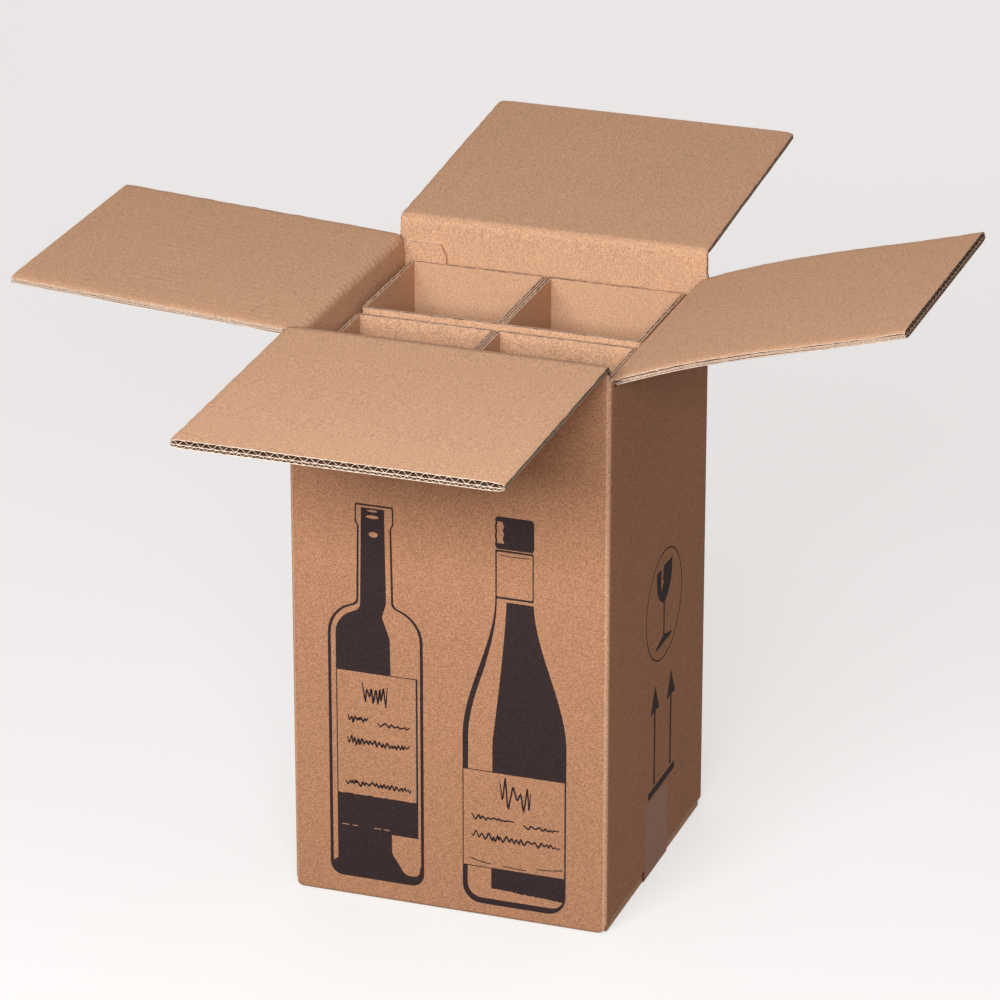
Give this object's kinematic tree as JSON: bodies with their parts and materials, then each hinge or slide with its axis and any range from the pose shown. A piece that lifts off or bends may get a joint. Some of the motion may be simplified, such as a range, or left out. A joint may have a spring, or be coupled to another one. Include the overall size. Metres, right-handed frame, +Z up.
{
  "type": "bottle shipping box",
  "caption": "Open corrugated carton with folded inserts that part it into bottle cells, and full-length lid flaps that fold shut",
  "frame": {"origin": "centre of the base, on the surface the carton stands on", "axes": "+Z up; the front wall, with the bottle print, faces -Y; +X is to the right as seen from the front"},
  "size_m": [0.6202, 0.6213, 0.4574],
  "materials": {
    "kraft_board": "matt brown kraft liner on both faces, lighter at cut edges",
    "insert_board": "matt brown kraft liner",
    "clear_tape": "smooth brown film"
  },
  "bodies": {
    "carton": {"carton": "kraft_board", "insert_back": "insert_board", "insert_front": "insert_board", "bottom_tape": "clear_tape"},
    "flap_front": {"flap_front": "kraft_board"},
    "flap_back": {"flap_back": "kraft_board"},
    "flap_left": {"flap_left": "kraft_board"},
    "flap_right": {"flap_right": "kraft_board"}
  },
  "joints": [
    {"name": "front_flap_fold", "type": "hinge", "parent": "carton", "child": "flap_front", "pos_m": [0, -0.109, 0.40645], "axis": [-1, 0, 0], "range_deg": [-79, 181]},
    {"name": "back_flap_fold", "type": "hinge", "parent": "carton", "child": "flap_back", "pos_m": [0, 0.109, 0.4128], "axis": [1, 0, 0], "range_deg": [-85, 175]},
    {"name": "left_flap_fold", "type": "hinge", "parent": "carton", "child": "flap_left", "pos_m": [-0.1125, 0, 0.4001], "axis": [0, 1, 0], "range_deg": [-83.5, 176.5]},
    {"name": "right_flap_fold", "type": "hinge", "parent": "carton", "child": "flap_right", "pos_m": [0.1125, 0, 0.39375], "axis": [0, -1, 0], "range_deg": [-96.6, 163.4]}
  ]
}
